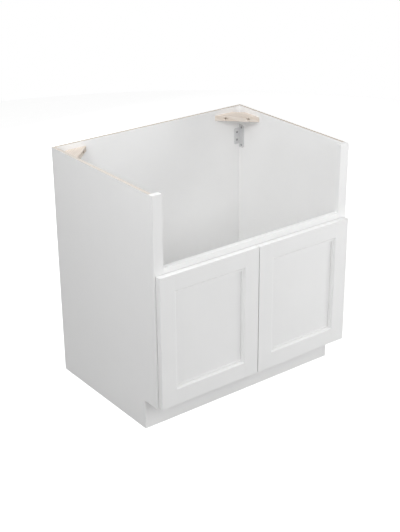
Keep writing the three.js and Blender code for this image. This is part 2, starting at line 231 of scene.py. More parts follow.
class Shader(NodeTree):
    """A material's node tree, with the steps that the finishes have in common."""

    NOISE_MIDDLE: Span = (0.3, 0.7)

    def __init__(self, name: str) -> None:
        """Starts a material with only its surface shader and output.

        Args:
            name: The material's name.
        """
        self.material = bpy.data.materials.new(name)
        self.material.use_nodes = True
        super().__init__(self.material.node_tree)
        self.surface = self.tree.nodes["Principled BSDF"]
        self.output = self.tree.nodes["Material Output"]

    def grain(self, stretch: Stretch) -> Socket:
        """The piece's own grain coordinates.

        Args:
            stretch: What multiplies the metres along, across and through the grain.

        Returns:
            The vector's socket.
        """
        laid = self.node("Attribute")
        laid.attribute_name = Workpiece.GRAIN
        scaled = self.node("VectorMath")
        scaled.operation = "MULTIPLY"
        self.feed(scaled.inputs[0], laid.outputs["Vector"])
        self.feed(scaled.inputs[1], stretch)
        return scaled.outputs["Vector"]

    def noise(self, pattern: Pattern) -> Socket:
        """Lays a pattern, as a factor from 0 to 1."""
        place = self.grain(pattern.cells)
        return self.node("TexNoise", Vector=place, Scale=1.0, Detail=pattern.detail).outputs["Fac"]

    def levels(self, factor: Socket, low: float, high: float) -> Socket:
        """Stretches a noise's middle to run between two values.

        Args:
            factor: The noise.
            low: The value where the noise is low.
            high: The value where the noise is high.

        Returns:
            The value's socket.
        """
        start, end = self.NOISE_MIDDLE
        spread = self.node(
            "MapRange", Value=factor, From_Min=start, From_Max=end, To_Min=low, To_Max=high
        )
        return spread.outputs["Result"]

    def tint(self, ground: object, colour: Colour, factor: Socket, share: float) -> Socket:
        """Brings a second colour through a ground.

        Args:
            ground: A colour or its socket.
            colour: The second colour.
            factor: The noise that says where it comes through.
            share: How far it comes through at most.

        Returns:
            The mixed colour's socket.
        """
        mixed = self.node("Mix")
        mixed.data_type = "RGBA"
        self.feed(mixed.inputs[0], self.levels(factor, 0.0, share))
        self.feed(mixed.inputs[6], ground if isinstance(ground, Socket) else (*ground, 1.0))
        self.feed(mixed.inputs[7], (*colour, 1.0))
        return mixed.outputs[2]

    def dress(
        self, tone: Socket, gloss: Socket, roughness: Span, *relief: tuple[Socket, float]
    ) -> bpy.types.Material:
        """Feeds the surface with its colour, roughness and relief.

        Args:
            tone: The colour.
            gloss: The noise that the roughness follows.
            roughness: The least and the greatest roughness.
            *relief: Noises as heights, each with the depth in metres that it stands for.

        Returns:
            The finished material.
        """
        self.feed(self.surface.inputs["Base Color"], tone)
        self.feed(self.surface.inputs["Roughness"], self.levels(gloss, *roughness))
        below = None
        for height, depth in relief:
            bump = self.node("Bump", Height=height, Distance=depth, Strength=1.0)
            if below is not None:
                self.feed(bump.inputs["Normal"], below)
            below = bump.outputs["Normal"]
        self.feed(self.surface.inputs["Normal"], below)
        return self.material


@dataclass(frozen=True)
class SatinPaint:
    """Sprayed satin paint over wood, with faint rolling and the grain just showing through."""

    name: str = "satin_white_paint"
    light: Colour = (0.925, 0.925, 0.922)
    dark: Colour = (0.9, 0.9, 0.897)
    roughness: Span = (0.4, 0.5)
    clouds: Pattern = Pattern((5.0, 5.0, 5.0), 3.0)
    fibres: Pattern = Pattern((5.0, 170.0, 170.0), 3.0, 0.35)
    peel: Pattern = Pattern((620.0, 620.0, 620.0), 1.0)
    depth: float = 0.00001

    def material(self) -> bpy.types.Material:
        """Builds the paint's nodes.

        Returns:
            The material.
        """
        shader = Shader(self.name)
        clouds, fibres, peel = map(shader.noise, (self.clouds, self.fibres, self.peel))
        tone = shader.tint(self.dark, self.light, clouds, self.clouds.share)
        tone = shader.tint(tone, self.dark, fibres, self.fibres.share)
        return shader.dress(
            tone, clouds, self.roughness, (fibres, self.depth), (peel, self.depth)
        )


@dataclass(frozen=True)
class PlyEdge:
    """The sawn edge of plywood: thin plies that lie crosswise in turn, with dark glue lines.

    The colour ramp holds a long and an end ply. The spans say where each lies on it, and where
    the glue under each lies.
    """

    name: str = "raw_plywood_edge"
    ply: float = 0.00141
    long_ply: Colour = (0.75, 0.70, 0.645)
    end_ply: Colour = (0.64, 0.59, 0.53)
    glue: Colour = (0.52, 0.47, 0.41)
    roughness: Span = (0.62, 0.85)
    long_span: Span = (0.03, 0.44)
    end_span: Span = (0.53, 0.95)
    glue_places: Span = (0.49, 0.99)
    waves: Pattern = Pattern((14.0, 14.0, 14.0), 2.0, 0.12)
    fibres: Pattern = Pattern((40.0, 900.0, 900.0), 4.0, 0.4)
    pores: Pattern = Pattern((1500.0, 1500.0, 1500.0), 2.0, 0.25)
    saw_marks: float = 0.00006

    def material(self) -> bpy.types.Material:
        """Builds the edge's nodes.

        Returns:
            The material.
        """
        shader = Shader(self.name)
        pairs = 1.0 / (2 * self.ply)
        through = shader.node("SeparateXYZ", Vector=shader.grain((1.0, 1.0, pairs)))
        waves, fibres, pores = map(shader.noise, (self.waves, self.fibres, self.pores))
        layer = shader.reckon("MULTIPLY_ADD", waves, self.waves.share, through.outputs["Z"])
        plies = shader.node("ValToRGB", Fac=shader.reckon("FRACT", layer))
        self.stack(plies.color_ramp)
        tone = shader.tint(plies.outputs["Color"], self.end_ply, fibres, self.fibres.share)
        tone = shader.tint(tone, self.glue, pores, self.pores.share)
        marks = ((fibres, self.saw_marks), (pores, self.saw_marks))
        return shader.dress(tone, fibres, self.roughness, *marks)

    def stack(self, ramp: bpy.types.ColorRamp) -> None:
        """Sets one pair of plies on a colour ramp.

        Args:
            ramp: The ramp, which repeats over two plies.
        """
        ramp.interpolation = "LINEAR"
        stops = [(place, self.long_ply) for place in self.long_span]
        stops += [(self.glue_places[0], self.glue)]
        stops += [(place, self.end_ply) for place in self.end_span]
        stops += [(self.glue_places[1], self.glue)]
        while len(ramp.elements) < len(stops):
            ramp.elements.new(1.0)
        for element, (place, colour) in zip(ramp.elements, stops):
            element.position = place
            element.color = (*colour, 1.0)


@dataclass(frozen=True)
class SawnWood:
    """Bare sawn softwood, with growth rings that run along the bar."""

    WAVE_LENGTH = 0.32  # how far apart the wave texture's bands lie at scale 1

    name: str = "bare_sawn_wood"
    early: Colour = (0.765, 0.698, 0.632)
    late: Colour = (0.64, 0.543, 0.455)
    roughness: Span = (0.6, 0.8)
    ring: float = 0.0042
    ring_stretch: Stretch = (0.06, 1.0, 0.35)
    ring_share: float = 0.7
    wander: float = 5.0
    wander_detail: float = 2.0
    wander_scale: float = 1.6
    blotches: Pattern = Pattern((9.0, 30.0, 30.0), 2.0, 0.3)
    fibres: Pattern = Pattern((26.0, 820.0, 820.0), 5.0, 0.45)
    tear: float = 0.00012

    def material(self) -> bpy.types.Material:
        """Builds the wood's nodes.

        Returns:
            The material.
        """
        shader = Shader(self.name)
        wave = shader.node(
            "TexWave",
            Vector=shader.grain(self.ring_stretch),
            Scale=self.WAVE_LENGTH / self.ring,
            Distortion=self.wander,
            Detail=self.wander_detail,
            Detail_Scale=self.wander_scale,
        )
        wave.bands_direction = "DIAGONAL"
        rings = wave.outputs["Fac"]
        fibres, blotches = map(shader.noise, (self.fibres, self.blotches))
        tone = shader.tint(self.early, self.late, rings, self.ring_share)
        tone = shader.tint(tone, self.late, blotches, self.blotches.share)
        tone = shader.tint(tone, self.early, fibres, self.fibres.share)
        return shader.dress(
            tone, fibres, self.roughness, (fibres, self.tear), (rings, self.tear / 2)
        )


@dataclass(frozen=True)
class Plating:
    """Plated steel: a fine drawn finish, cloudy where the bath was uneven."""

    name: str
    bright: Colour
    dull: Colour
    roughness: Span
    metallic: float
    drawn: Pattern = Pattern((120.0, 4200.0, 4200.0), 2.0, 0.4)
    clouds: Pattern = Pattern((260.0, 260.0, 260.0))
    scratches: float = 0.000008

    def material(self) -> bpy.types.Material:
        """Builds the plating's nodes.

        Returns:
            The material.
        """
        shader = Shader(self.name)
        shader.surface.inputs["Metallic"].default_value = self.metallic
        drawn, clouds = map(shader.noise, (self.drawn, self.clouds))
        tone = shader.tint(self.dull, self.bright, clouds, self.clouds.share)
        tone = shader.tint(tone, self.dull, drawn, self.drawn.share)
        return shader.dress(tone, clouds, self.roughness, (drawn, self.scratches))


@dataclass(frozen=True)
class SoftRubber:
    """Milky soft plastic of the stick-on bumpers."""

    name: str = "clear_bumper_rubber"
    milky: Colour = (0.84, 0.84, 0.81)
    clear: Colour = (0.76, 0.77, 0.74)
    roughness: Span = (0.35, 0.5)
    transmission: float = 0.25
    haze: Pattern = Pattern((700.0, 700.0, 700.0))
    depth: float = 0.00002

    def material(self) -> bpy.types.Material:
        """Builds the rubber's nodes.

        Returns:
            The material.
        """
        shader = Shader(self.name)
        shader.surface.inputs["Transmission Weight"].default_value = self.transmission
        haze = shader.noise(self.haze)
        tone = shader.tint(self.clear, self.milky, haze, self.haze.share)
        return shader.dress(tone, haze, self.roughness, (haze, self.depth))


ZINC = Plating(
    name="zinc_plated_steel",
    bright=(0.76, 0.765, 0.77),
    dull=(0.66, 0.665, 0.67),
    roughness=(0.42, 0.55),
    metallic=0.35,
)
DARK_STEEL = Plating(
    name="dark_screw_steel",
    bright=(0.4, 0.4, 0.405),
    dull=(0.3, 0.3, 0.305),
    roughness=(0.38, 0.5),
    metallic=0.5,
)


@dataclass
class Finishes:
    """The cabinet's finishes, each made once."""

    paint: bpy.types.Material = field(default_factory=SatinPaint().material)
    ply_edge: bpy.types.Material = field(default_factory=PlyEdge().material)
    wood: bpy.types.Material = field(default_factory=SawnWood().material)
    plated: bpy.types.Material = field(default_factory=ZINC.material)
    screw: bpy.types.Material = field(default_factory=DARK_STEEL.material)
    rubber: bpy.types.Material = field(default_factory=SoftRubber().material)


# ---------------------------------------------------------------- making pieces


def rounded(corners: Sequence[Corner], steps: int = 4) -> list[Point]:
    """Rounds the corners of a section.

    Args:
        corners: The section's corners in turn, each with its radius.
        steps: Straight steps in a rounded corner.

    Returns:
        The section's points.
    """
    points: list[Point] = []
    for i, (a, b, radius) in enumerate(corners):
        here = Vector((a, b))
        if radius == 0.0:
            points.append((a, b))
            continue
        back = (Vector(corners[i - 1][:2]) - here).normalized()
        on = (Vector(corners[(i + 1) % len(corners)][:2]) - here).normalized()
        half = back.angle(on) / 2
        middle = here + (back + on).normalized() * radius / math.sin(half)
        start = here + back * radius / math.tan(half) - middle
        turn = start.angle_signed(here + on * radius / math.tan(half) - middle)
        for step in range(steps + 1):
            angle = -turn * step / steps
            across = start.x * math.cos(angle) - start.y * math.sin(angle)
            up = start.x * math.sin(angle) + start.y * math.cos(angle)
            points.append((middle.x + across, middle.y + up))
    return points


def face_outwards(solid: Solid) -> None:
    """Turns the faces of a closed solid outwards.

    Args:
        solid: The solid.
    """
    solid.normal_update()
    bmesh.ops.recalc_face_normals(solid, faces=solid.faces)
    if solid.calc_volume(signed=True) < 0.0:
        bmesh.ops.reverse_faces(solid, faces=solid.faces)


def prism(section: Sequence[Point], along: Along, start: float, end: float) -> Solid:
    """Draws a flat section out into a solid.

    Args:
        section: Points of the section, in the two other axes in their order x, y, z.
        along: The direction that it is drawn out in.
        start: Where the solid starts.
        end: Where it ends.

    Returns:
        The solid.
    """
    solid = bmesh.new()
    others = [i for i in range(3) if i != along.value]
    ends = []
    for place in (start, end):
        ring = []
        for point in section:
            at = [0.0, 0.0, 0.0]
            at[along.value] = place
            at[others[0]], at[others[1]] = point
            ring.append(solid.verts.new(at))
        ends.append(ring)
        solid.faces.new(ring)
    for i in range(len(section)):
        j = (i + 1) % len(section)
        solid.faces.new((ends[0][i], ends[0][j], ends[1][j], ends[1][i]))
    face_outwards(solid)
    return solid


def board(low: Vector, high: Vector) -> Solid:
    """A squared board between its lowest and highest corner."""
    section = [(low.x, low.y), (high.x, low.y), (high.x, high.y), (low.x, high.y)]
    return prism(section, Along.Z, low.z, high.z)


def turned(profile: Sequence[Point], foot: Vector, axis: Vector, steps: int = 32) -> Solid:
    """Turns a profile round an axis.

    Args:
        profile: Radius and height of each point, from the axis at the foot to the axis at the top.
        foot: The point of height 0.
        axis: The direction of growing height.
        steps: Straight steps round the axis.

    Returns:
        The turned solid.
    """
    seam = 1e-7
    solid = bmesh.new()
    chain = [solid.verts.new((radius, 0.0, height)) for radius, height in profile]
    edges = [solid.edges.new(pair) for pair in zip(chain, chain[1:])]
    bmesh.ops.spin(
        solid,
        geom=[*chain, *edges],
        cent=(0, 0, 0),
        axis=(0, 0, 1),
        angle=2 * math.pi,
        steps=steps,
    )
    bmesh.ops.remove_doubles(solid, verts=solid.verts, dist=seam)
    face_outwards(solid)
    turn = axis.to_track_quat("Z", "Y").to_matrix().to_4x4()
    solid.transform(Matrix.Translation(foot) @ turn)
    return solid


def bore(radius: float, length: float, foot: Vector, axis: Vector, steps: int) -> Solid:
    """The round tool that cuts a bore, from the middle of its bottom out past its mouth."""
    profile = [(0.0, 0.0), (radius, 0.0), (radius, length), (0.0, length)]
    return turned(profile, foot, axis, steps)


@dataclass(frozen=True)
class Dome:
    """A low dome with an eased foot, in shares of its radius and its height."""

    crown: float  # the flat top's radius
    wall: float  # the height below the curve
    easing: float  # the height of the foot's easing
    foot: float  # the radius on which it stands
    steps: int  # straight steps in the curve

    def profile(self, radius: float, height: float) -> list[Point]:
        """The dome's outline.

        Args:
            radius: The dome's radius.
            height: Its height.

        Returns:
            The points from its foot to the middle of its top.
        """
        points = [(self.foot, 0.0), (1.0, self.easing)]
        for i in range(self.steps + 1 if self.crown > 0.0 else self.steps):
            angle = math.pi / 2 * i / self.steps
            across = self.crown + (1.0 - self.crown) * math.cos(angle)
            points.append((across, self.wall + (1.0 - self.wall) * math.sin(angle)))
        points.append((0.0, 1.0))
        return [(radius * across, height * up) for across, up in points]


class Workpiece:
    """One piece of the cabinet while it is cut, eased, finished and fitted."""

    GRAIN = "grain"
    TRACED_SEAM = 2e-6
    TRACED_FLAT = 0.6
    NORMAL_WEIGHT = 80
    GRAIN_STARTS = ((97, 0.37), (89, 0.23))  # how many starts, and how far each is from the last

    def __init__(self, name: str, solid: Solid) -> None:
        """Puts a solid on the bench.

        Args:
            name: The piece's name.
            solid: Its rough shape, which is used up.
        """
        mesh = bpy.data.meshes.new(name)
        solid.to_mesh(mesh)
        solid.free()
        self.body = bpy.data.objects.new(name, mesh)
        bpy.context.scene.collection.objects.link(self.body)

    @classmethod
    def traced(cls, name: str, node: str) -> "Workpiece":
        """Starts from the shape of a CAD node.

        Args:
            name: The piece's name.
            node: The CAD node whose shape it takes.

        Returns:
            The piece, with its flat faces whole again.
        """
        solid = bmesh.new()
        solid.from_mesh(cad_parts[node].data)
        bmesh.ops.remove_doubles(solid, verts=solid.verts, dist=cls.TRACED_SEAM)
        flat = math.radians(cls.TRACED_FLAT)
        bmesh.ops.dissolve_limit(solid, angle_limit=flat, verts=solid.verts, edges=solid.edges)
        return cls(name, solid)

    def settle(self) -> None:
        """Works the piece's modifiers into its mesh."""
        graph = bpy.context.evaluated_depsgraph_get()
        shaped = bpy.data.meshes.new_from_object(self.body.evaluated_get(graph), depsgraph=graph)
        rough = self.body.data
        self.body.modifiers.clear()
        self.body.data = shaped
        bpy.data.meshes.remove(rough)

    def cut(self, *tools: Solid) -> "Workpiece":
        """Cuts tools out of the piece.

        Args:
            *tools: The solids to take away.

        Returns:
            The piece itself.
        """
        for solid in tools:
            tool = Workpiece("tool", solid).body
            modifier = self.body.modifiers.new("cut", "BOOLEAN")
            modifier.operation = "DIFFERENCE"
            modifier.solver = "EXACT"
            modifier.object = tool
            self.settle()
            mesh = tool.data
            bpy.data.objects.remove(tool)
            bpy.data.meshes.remove(mesh)
        return self

    def ease(self, radius: float, segments: int = 3, angle: float = 40.0) -> "Workpiece":
        """Rounds the piece's hard edges.

        Args:
            radius: The width of the easing.
            segments: Steps across it.
            angle: Edges sharper than this, in degrees, are eased.

        Returns:
            The piece itself.
        """
        bevel = self.body.modifiers.new("ease", "BEVEL")
        bevel.width = radius
        bevel.segments = segments
        bevel.limit_method = "ANGLE"
        bevel.angle_limit = math.radians(angle)
        bevel.use_clamp_overlap = True
        self.settle()
        return self

    def smooth(self, angle: float = 45.0) -> "Workpiece":
        """Shades the piece smoothly, with its large faces flat.

        Args:
            angle: Edges that stay sharper than this, in degrees, are kept hard.

        Returns:
            The piece itself.
        """
        mesh = self.body.data
        mesh.polygons.foreach_set("use_smooth", [True] * len(mesh.polygons))
        mesh.set_sharp_from_angle(angle=math.radians(angle))
        weighted = self.body.modifiers.new("normals", "WEIGHTED_NORMAL")
        weighted.keep_sharp = True
        weighted.weight = self.NORMAL_WEIGHT
        self.settle()
        return self

    def lay_grain(
        self, along: Vector, through: Vector, start: Vector | None = None
    ) -> "Workpiece":
        """Stores each point's place along, across and through the piece's grain.

        Args:
            along: The direction of the grain.
            through: The direction of the piece's thickness.
            start: The point of thickness 0; the other two places start anywhere.

        Returns:
            The piece itself.
        """
        across = through.cross(along)
        zero = start or Vector()
        seed = sum((i + 1) * ord(letter) for i, letter in enumerate(self.body.name))
        length_start, width_start = ((seed % count) * apart for count, apart in self.GRAIN_STARTS)
        places: list[float] = []
        for vertex in self.body.data.vertices:
            places.append(vertex.co.dot(along) + length_start)
            places.append(vertex.co.dot(across) + width_start)
            places.append((vertex.co - zero).dot(through))
        laid = self.body.data.attributes.new(self.GRAIN, "FLOAT_VECTOR", "POINT")
        laid.data.foreach_set("vector", places)
        return self

    def coat(
        self,
        finish: bpy.types.Material,
        raw: bpy.types.Material | None = None,
        is_raw: FaceTest | None = None,
    ) -> "Workpiece":
        """Gives the piece its finish.

        Args:
            finish: The finish of most faces.
            raw: The finish of the faces that were left raw.
            is_raw: Tells which faces these are.

        Returns:
            The piece itself.
        """
        mesh = self.body.data
        mesh.materials.clear()
        mesh.materials.append(finish)
        if raw is not None and is_raw is not None:
            mesh.materials.append(raw)
            for polygon in mesh.polygons:
                polygon.material_index = int(is_raw(polygon.normal))
        return self

    def fit(self, body: str, slot: Slot, *nodes: str) -> None:
        """Fits the piece to the cabinet.

        Args:
            body: The CAD body that it moves with.
            slot: The record's material slot; not used.
            *nodes: The CAD nodes that it stands for.
        """
        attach(self.body, body)
        if nodes:
            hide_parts(*nodes)
        LOG.info("%s rides on %s, %d faces", self.body.name, body, len(self.body.data.polygons))


# ---------------------------------------------------------------- carcass


@dataclass
class SheetPanels:
    """The plywood sides, back, floor and toe board, white outside and raw on their sawn edges."""

    finishes: Finishes
    edge: float = 0.0005
    notch_height: float = 0.112
    notch_depth: float = 0.073
    frame_thickness: float = 0.01905
    facing: float = 0.7  # the share of its normal that a face needs to look some way

    def build(self) -> None:
        """Makes every panel."""
        for side in Side:
            self.side_panel(side)
        self.sheet("back_panel", Along.Z, Along.Y, self.is_end)
        self.sheet("bottom_panel", Along.X, Along.Z, self.is_upright)
        self.sheet("toe_board", Along.X, Along.Y, self.is_end)

    def is_end(self, normal: Vector) -> bool:
        """Tells whether a face looks up or down."""
        return abs(normal.z) > self.facing

    def is_upright(self, normal: Vector) -> bool:
        """Tells whether a face looks neither up nor down."""
        return abs(normal.z) < self.facing

    def is_end_or_back(self, normal: Vector) -> bool:
        """Tells whether a face looks up, down or to the back."""
        return self.is_end(normal) or normal.y > self.facing

    def sheet(self, node: str, along: Along, through: Along, is_raw: FaceTest) -> None:
        """Makes a squared panel, with its face grain and its thickness in two directions."""
        self.finish(node, board(*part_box(node)), along, through, is_raw)

    def side_panel(self, side: Side) -> None:
        """Makes a side with the notch of the toe kick.

        Args:
            side: The side of the cabinet.
        """
        node = f"side_panel_{side.word}"
        low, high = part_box(node)
        notch_back = low.y - self.frame_thickness + self.notch_depth
        profile = [
            (low.y, self.notch_height),
            (notch_back, self.notch_height),
            (notch_back, low.z),
            (high.y, low.z),
            (high.y, high.z),
            (low.y, high.z),
        ]
        solid = prism(profile, Along.X, low.x, high.x)
        self.finish(node, solid, Along.Z, Along.X, self.is_end_or_back)

    def finish(
        self, node: str, solid: Solid, along: Along, through: Along, is_raw: FaceTest
    ) -> None:
        """Eases, coats and fits a panel.

        Args:
            node: The CAD node that it stands for.
            solid: Its rough shape.
            along: The direction of its face grain.
            through: The direction of its thickness.
            is_raw: Tells which faces are sawn.
        """
        low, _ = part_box(node)
        piece = Workpiece(f"{node}_sheet", solid).ease(self.edge).smooth()
        piece.lay_grain(along.vector, through.vector, low)
        piece.coat(self.finishes.paint, self.finishes.ply_edge, is_raw)
        piece.fit("carcass", Slot.WHITE_PAINT, node)


@dataclass
class FaceFrame:
    """The solid stiles and rails round the door opening, sanded flush and painted."""

    finishes: Finishes
    edge: float = 0.0006

    def build(self) -> None:
        """Makes both stiles and both rails."""
        for side in Side:
            self.member(f"frame_stile_{side.word}", Along.Z)
        for rail in ("frame_top_rail", "frame_bottom_rail"):
            self.member(rail, Along.X)

    def member(self, node: str, along: Along) -> None:
        """Makes one stile or rail.

        Args:
            node: The CAD node that it stands for.
            along: The direction of its length.
        """
        low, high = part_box(node)
        piece = Workpiece(f"{node}_wood", board(low, high)).ease(self.edge).smooth()
        piece.lay_grain(along.vector, Along.Y.vector).coat(self.finishes.paint)
        piece.fit("carcass", Slot.WHITE_PAINT, node)


@dataclass(frozen=True)
class PanScrew:
    """A pan head screw with a cross recess, or its head alone where it has no shank."""

    head_radius: float
    head_height: float
    shank_radius: float = 0.0
    shank_length: float = 0.0
    tip_length: float = 0.0025
    tip_share: float = 0.3  # the tip's radius, of the shank's
    wing: float = 0.00075
    arm_share: float = 0.52  # half the cross's width, of the head's radius
    arm_taper: float = 0.4  # the arm's half width at its bottom, of that at its top
    depth_share: float = 0.55  # the cross's depth, of the head's height
    overrun: float = 0.0002
    dome: Dome = Dome(crown=0.0, wall=0.32, easing=0.08, foot=0.97, steps=8)
    steps: int = 24
    hard_angle: float = 35.0

    def profile(self) -> list[Point]:
        """The screw's outline.

        Returns:
            The points from its tip to the middle of its head.
        """
        head = self.dome.profile(self.head_radius, self.head_height)
        if self.shank_length == 0.0:
            return [(0.0, 0.0), *head]
        shank = [
            (0.0, -self.shank_length),
            (self.shank_radius * self.tip_share, -self.shank_length),
            (self.shank_radius, self.tip_length - self.shank_length),
            (self.shank_radius, 0.0),
        ]
        return [*shank, *head]

    def make(self, name: str, seat: Vector, out: Vector) -> Workpiece:
        """Makes the screw.

        Args:
            name: The piece's name.
            seat: The middle of its head's underside.
            out: The direction from its tip to its head.

        Returns:
            The screw, with its recess driven in.
        """
        piece = Workpiece(name, turned(self.profile(), Vector(), Along.Z.vector, self.steps))
        for turn in (0.0, math.pi / 2):
            piece.cut(self.wing_tool(turn))
        piece.smooth(self.hard_angle)
        turn_out = out.to_track_quat("Z", "Y").to_matrix().to_4x4()
        piece.body.data.transform(Matrix.Translation(seat) @ turn_out)
        return piece

    def wing_tool(self, turn: float) -> Solid:
        """One bar of the driver's cross, tapered towards its tip.

        Args:
            turn: Its turn round the screw's axis.

        Returns:
            The bar.
        """
        arm = self.head_radius * self.arm_share
        tip = arm * self.arm_taper
        top = self.head_height + self.overrun
        bottom = self.head_height - self.head_height * self.depth_share
        section = [(-arm, top), (-tip, bottom), (tip, bottom), (arm, top)]
        bar = prism(section, Along.Y, -self.wing / 2, self.wing / 2)
        bar.transform(Matrix.Rotation(turn, 4, "Z"))
        return bar


@dataclass
class CornerFixings:
    """A bare wooden block and a plated bracket in each back corner, with their screws."""

    finishes: Finishes
    block_edge: float = 0.0009
    bar_width: float = 0.06
    pocket_radius: float = 0.0043
    pocket_steps: int = 28
    bracket_edge: float = 0.00035
    block_screw: PanScrew = PanScrew(
        head_radius=0.004, head_height=0.0024, shank_radius=0.002, shank_length=0.0255
    )
    bracket_screw: PanScrew = PanScrew(
        head_radius=0.0042, head_height=0.0022, shank_radius=0.0018, shank_length=0.011
    )

    def build(self) -> None:
        """Makes the fixings of both corners."""
        for side in Side:
            self.block(side)
            self.bracket(side)
            for wall in Wall:
                node = f"{side.word}_block_{wall.value}_screw"
                self.screw(node, wall.out(side), self.block_screw)
                for number in (1, 2):
                    node = f"{side.word}_bracket_{wall.value}_screw_{number}"
                    self.screw(node, wall.out(side), self.bracket_screw)

    def seat(self, node: str, out: Vector, kind: PanScrew) -> Vector:
        """The middle of a screw head's underside, in the box of the screw's node."""
        low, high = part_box(node)
        return (low + high) / 2 + out * ((kind.shank_length - kind.head_height) / 2)

    def screw(self, node: str, out: Vector, kind: PanScrew) -> None:
        """Makes one screw.

        Args:
            node: The CAD node that it stands for.
            out: The direction from its tip to its head.
            kind: The screw's sizes.
        """
        piece = kind.make(f"{node}_steel", self.seat(node, out, kind), out)
        piece.lay_grain(out, Along.Z.vector).coat(self.finishes.screw)
        piece.fit("carcass", Slot.SCREW_STEEL, node)

    def pocket(self, side: Side, wall: Wall, length: float) -> Solid:
        """The tool for the pocket of one of the block's screws.

        Args:
            side: The side of the cabinet.
            wall: The wall that the screw goes into.
            length: How far the tool reaches out from the screw's seat.

        Returns:
            The tool.
        """
        out = wall.out(side)
        seat = self.seat(f"{side.word}_block_{wall.value}_screw", out, self.block_screw)
        return bore(self.pocket_radius, length, seat, out, self.pocket_steps)

    def block(self, side: Side) -> None:
        """Makes a mitred bar across the corner, with a pocket for each screw.

        Args:
            side: The side of the cabinet.
        """
        node = f"corner_block_{side.word}"
        low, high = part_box(node)
        leg = high.x - low.x
        short = leg - self.bar_width * math.sqrt(2)
        corner_x, corner_y = side.edge(low, high), high.y
        plan = [
            (corner_x - side.value * leg, corner_y),
            (corner_x, corner_y - leg),
            (corner_x, corner_y - short),
            (corner_x - side.value * short, corner_y),
        ]
        piece = Workpiece(f"{node}_bar", prism(plan, Along.Z, low.z, high.z))
        piece.cut(*(self.pocket(side, wall, leg) for wall in Wall))
        piece.ease(self.block_edge).smooth()
        along = Vector((1, -side.value, 0)).normalized()
        piece.lay_grain(along, Along.Z.vector).coat(self.finishes.wood)
        piece.fit("carcass", Slot.BARE_WOOD, node)

    def bracket(self, side: Side) -> None:
        """Makes a bent and plated bracket.

        Args:
            side: The side of the cabinet.
        """
        node = f"corner_bracket_{side.word}"
        piece = Workpiece.traced(f"{node}_plate", node)
        piece.ease(self.bracket_edge, segments=2).smooth()
        piece.lay_grain(Along.Z.vector, Along.Y.vector).coat(self.finishes.plated)
        piece.fit("carcass", Slot.PLATED_STEEL, node)


# ---------------------------------------------------------------- doors


